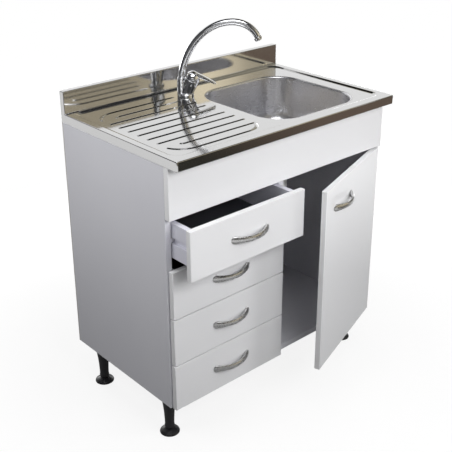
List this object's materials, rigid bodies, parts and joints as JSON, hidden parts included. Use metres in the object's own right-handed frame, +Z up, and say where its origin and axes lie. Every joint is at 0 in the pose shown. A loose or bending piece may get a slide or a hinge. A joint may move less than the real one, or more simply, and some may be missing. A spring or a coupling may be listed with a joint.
{
  "type": "kitchen sink unit",
  "caption": "Kitchen sink unit: stainless drainer sink with bowl, swivel mixer tap and waste on a white base cabinet with drawers, a hinged door and levelling legs.",
  "frame": {"origin": "on the floor, under the middle of the unit's bounding box as it stands in the picture", "axes": "+X to the right along the front, +Y from the front to the wall, +Z up"},
  "size_m": [0.8, 0.5918, 1.0691],
  "materials": {
    "stainless": "satin, bright on the ribs",
    "chrome": "polished",
    "satin_nickel": "satin",
    "zinc_steel": "zinc plated",
    "gloss_front": "white gloss laminate on board",
    "carcass_board": "white melamine on board",
    "thin_board": "white-faced hardboard",
    "drawer_board": "white foil on board",
    "runner_plastic": "smooth",
    "black_plastic": "smooth moulded",
    "white_fittings": "moulded polypropylene"
  },
  "bodies": {
    "cabinet": {"sink_top": "stainless", "sink_bowl": "stainless", "waste_flange": "stainless", "waste_nut": "white_fittings", "trap_body": "white_fittings", "trap_outlet_pipe": "white_fittings", "tap_body": "chrome", "tap_shank": "zinc_steel", "tap_fixing_nut": "zinc_steel", "side_panel_left": "carcass_board", "side_panel_right": "carcass_board", "bottom_panel": "carcass_board", "divider_panel": "carcass_board", "front_rail": "carcass_board", "rear_rail": "carcass_board", "back_panel": "thin_board", "fascia_panel": "gloss_front", "runner_1_left": "runner_plastic", "runner_1_right": "runner_plastic", "runner_2_left": "runner_plastic", "runner_2_right": "runner_plastic", "runner_3_left": "runner_plastic", "runner_3_right": "runner_plastic", "runner_4_left": "runner_plastic", "runner_4_right": "runner_plastic", "hinge_arm_upper": "zinc_steel", "hinge_arm_lower": "zinc_steel", "leg_front_left": "black_plastic", "leg_front_right": "black_plastic", "leg_rear_left": "black_plastic", "leg_rear_right": "black_plastic"},
    "spout": {"tap_spout": "chrome", "spout_aerator": "chrome"},
    "lever_dome": {"tap_dome": "chrome"},
    "lever": {"tap_lever": "chrome"},
    "strainer": {"strainer_basket": "stainless"},
    "door": {"door_panel": "gloss_front", "door_handle": "satin_nickel", "hinge_cup_upper": "zinc_steel", "hinge_cup_lower": "zinc_steel"},
    "drawer_1": {"drawer_1_front": "gloss_front", "drawer_1_box": "drawer_board", "drawer_1_bottom": "thin_board", "drawer_1_handle": "satin_nickel"},
    "drawer_2": {"drawer_2_front": "gloss_front", "drawer_2_box": "drawer_board", "drawer_2_bottom": "thin_board", "drawer_2_handle": "satin_nickel"},
    "drawer_3": {"drawer_3_front": "gloss_front", "drawer_3_box": "drawer_board", "drawer_3_bottom": "thin_board", "drawer_3_handle": "satin_nickel"},
    "drawer_4": {"drawer_4_front": "gloss_front", "drawer_4_box": "drawer_board", "drawer_4_bottom": "thin_board", "drawer_4_handle": "satin_nickel"},
    "foot_front_left": {"foot_front_left": "black_plastic"},
    "foot_front_right": {"foot_front_right": "black_plastic"},
    "foot_rear_left": {"foot_rear_left": "black_plastic"},
    "foot_rear_right": {"foot_rear_right": "black_plastic"}
  },
  "joints": [
    {"name": "spout_swivel", "type": "hinge", "parent": "cabinet", "child": "spout", "pos_m": [-0.0464, 0.2153, 0.8903], "axis": [0, 0, 1], "range_deg": [-75, 55]},
    {"name": "lever_turn", "type": "hinge", "parent": "cabinet", "child": "lever_dome", "pos_m": [-0.02162, 0.19298, 0.89671], "axis": [0.2663, -0.2398, 0.9336], "range_deg": [-45, 45]},
    {"name": "lever_lift", "type": "hinge", "parent": "lever_dome", "child": "lever", "pos_m": [-0.02162, 0.19298, 0.89671], "axis": [-0.6691, -0.7431, 0], "range_deg": [0, 25]},
    {"name": "strainer_lift", "type": "slide", "parent": "cabinet", "child": "strainer", "axis": [0, 0, 1], "range_m": [0, 0.06]},
    {"name": "door_hinge", "type": "hinge", "parent": "cabinet", "child": "door", "pos_m": [0.386, -0.16377, 0.406], "axis": [0, 0, 1], "range_deg": [-19.4, 75]},
    {"name": "drawer_1_slide", "type": "slide", "parent": "cabinet", "child": "drawer_1", "axis": [0, -1, 0], "range_m": [-0.072, 0.258]},
    {"name": "drawer_2_slide", "type": "slide", "parent": "cabinet", "child": "drawer_2", "axis": [0, -1, 0], "range_m": [0, 0.33]},
    {"name": "drawer_3_slide", "type": "slide", "parent": "cabinet", "child": "drawer_3", "axis": [0, -1, 0], "range_m": [0, 0.33]},
    {"name": "drawer_4_slide", "type": "slide", "parent": "cabinet", "child": "drawer_4", "axis": [0, -1, 0], "range_m": [0, 0.33]},
    {"name": "foot_front_left_screw", "type": "slide", "parent": "cabinet", "child": "foot_front_left", "axis": [0, 0, -1], "range_m": [0, 0.02]},
    {"name": "foot_front_right_screw", "type": "slide", "parent": "cabinet", "child": "foot_front_right", "axis": [0, 0, -1], "range_m": [0, 0.02]},
    {"name": "foot_rear_left_screw", "type": "slide", "parent": "cabinet", "child": "foot_rear_left", "axis": [0, 0, -1], "range_m": [0, 0.02]},
    {"name": "foot_rear_right_screw", "type": "slide", "parent": "cabinet", "child": "foot_rear_right", "axis": [0, 0, -1], "range_m": [0, 0.02]}
  ]
}
